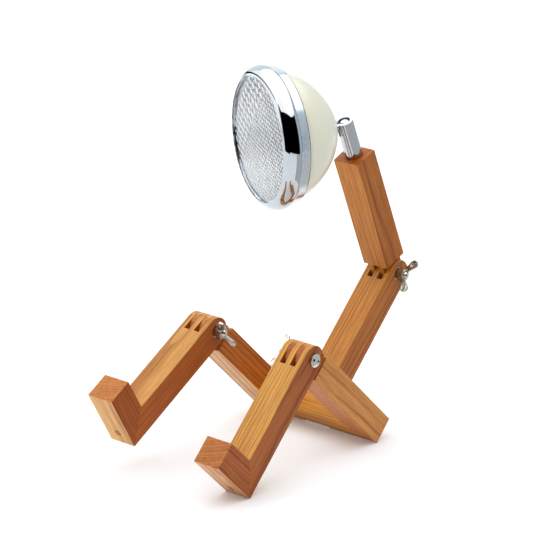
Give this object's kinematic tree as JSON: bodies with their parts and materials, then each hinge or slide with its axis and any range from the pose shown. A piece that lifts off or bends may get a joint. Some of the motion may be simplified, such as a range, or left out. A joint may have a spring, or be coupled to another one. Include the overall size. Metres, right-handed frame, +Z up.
{
  "type": "robot shaped desk lamp",
  "caption": "Jointed wooden desk lamp in the shape of a seated robot, with wing nuts at the knees and waist and a round metal lamp head on a ball neck.",
  "frame": {"origin": "on the table, under the middle of the bounding box of the posed lamp", "axes": "+Z up, +X to the robot's left across both legs, the robot faces -Y"},
  "size_m": [0.1237, 0.2536, 0.253],
  "materials": {
    "wood": "oiled hardwood with a clear satin coat and fine straight grain",
    "wood_fittings": "unstained hardwood, sanded flush",
    "steel": "bright zinc plate, lightly scuffed",
    "wing_nut_plating": "bright nickel plate over a die-cast wing nut",
    "chrome": "polished chrome plate",
    "band_metal": "satin plated sheet",
    "shell_paint": "smooth cream enamel with a soft gloss",
    "lens_glass": "clear moulded prism lens with a left band of flutes",
    "seal_rubber": "matte black rubber",
    "reflector_metal": "bright polished reflector",
    "sink_metal": "plain cast aluminium",
    "nylon": "natural nylon",
    "board_white": "white solder mask",
    "board_green": "green solder mask",
    "phosphor": "yellow silicone dome",
    "lead_cover": "red sleeve",
    "black_plastic": "matte black moulded nylon"
  },
  "bodies": {
    "hips": {"hip_crossbar": "wood", "left_thigh": "wood", "right_thigh": "wood", "hip_pin": "steel", "hip_corner_splines": "wood_fittings"},
    "left_leg": {"left_shin": "wood", "left_foot": "wood", "left_heel_screw": "steel", "left_heel_plug": "wood_fittings", "left_knee_bolt": "steel", "left_knee_washer": "steel"},
    "right_leg": {"right_shin": "wood", "right_foot": "wood", "right_heel_screw": "steel", "right_heel_plug": "wood_fittings", "right_knee_bolt": "steel", "right_knee_washer": "steel"},
    "left_knee_nut": {"left_wing_nut": "wing_nut_plating"},
    "right_knee_nut": {"right_wing_nut": "wing_nut_plating"},
    "trunk": {"torso": "wood", "waist_bolt": "steel", "waist_washer": "steel"},
    "waist_nut": {"waist_wing_nut": "wing_nut_plating"},
    "breast": {"chest": "wood", "neck_set_screw": "steel"},
    "neck": {"neck_tube": "chrome", "ball_cup": "nylon", "disc_springs": "steel", "neck_plug": "steel"},
    "stem": {"ball_stem": "chrome", "stem_washer": "steel", "stem_nut": "steel"},
    "lamp_head": {"head_shell": "shell_paint", "shell_seal": "seal_rubber", "trim_band": "band_metal", "bezel": "chrome", "lens_ring": "band_metal", "lens": "lens_glass", "lens_gasket": "seal_rubber", "retaining_ring": "steel", "reflector": "reflector_metal", "led_emitter": "phosphor", "led_board": "board_white", "led_screws": "steel", "heat_sink": "sink_metal", "led_leads": "lead_cover", "board_spacers": "nylon", "dimmer_board": "board_green", "cord_gland": "black_plastic", "gland_nut": "black_plastic"}
  },
  "joints": [
    {"name": "left_knee", "type": "hinge", "parent": "hips", "child": "left_leg", "pos_m": [0.04861, -0.02402, 0.07792], "axis": [-1, 0, 0], "range_deg": [-5, 90]},
    {"name": "right_knee", "type": "hinge", "parent": "hips", "child": "right_leg", "pos_m": [-0.03539, -0.02402, 0.07792], "axis": [-1, 0, 0], "range_deg": [-20, 74]},
    {"name": "hip", "type": "hinge", "parent": "hips", "child": "trunk", "pos_m": [0.00661, 0.04155, 0.01482], "axis": [-1, 0, 0], "range_deg": [0, 90]},
    {"name": "waist", "type": "hinge", "parent": "trunk", "child": "breast", "pos_m": [0.00661, 0.11733, 0.09247], "axis": [1, 0, 0], "range_deg": [-80, 17]},
    {"name": "neck_turn", "type": "hinge", "parent": "breast", "child": "neck", "pos_m": [0.00661, 0.07877, 0.1842], "axis": [0, -0.3875, 0.9219], "range_deg": [-63, 117]},
    {"name": "head_tilt", "type": "hinge", "parent": "neck", "child": "stem", "pos_m": [0.00661, 0.06951, 0.20623], "axis": [0.891, -0.4185, -0.1759], "range_deg": [-71, 20]},
    {"name": "head_roll", "type": "hinge", "parent": "stem", "child": "lamp_head", "pos_m": [0.0023, 0.06049, 0.20588], "axis": [-0.4305, -0.9019, -0.0349], "range_deg": [-90, 90]},
    {"name": "left_knee_nut_turn", "type": "hinge", "parent": "left_leg", "child": "left_knee_nut", "pos_m": [0.03461, -0.02402, 0.07792], "axis": [-1, 0, 0], "continuous": true},
    {"name": "right_knee_nut_turn", "type": "hinge", "parent": "right_leg", "child": "right_knee_nut", "pos_m": [-0.02139, -0.02402, 0.07792], "axis": [1, 0, 0], "continuous": true},
    {"name": "waist_nut_turn", "type": "hinge", "parent": "trunk", "child": "waist_nut", "pos_m": [0.02061, 0.11733, 0.09247], "axis": [1, 0, 0], "continuous": true}
  ]
}
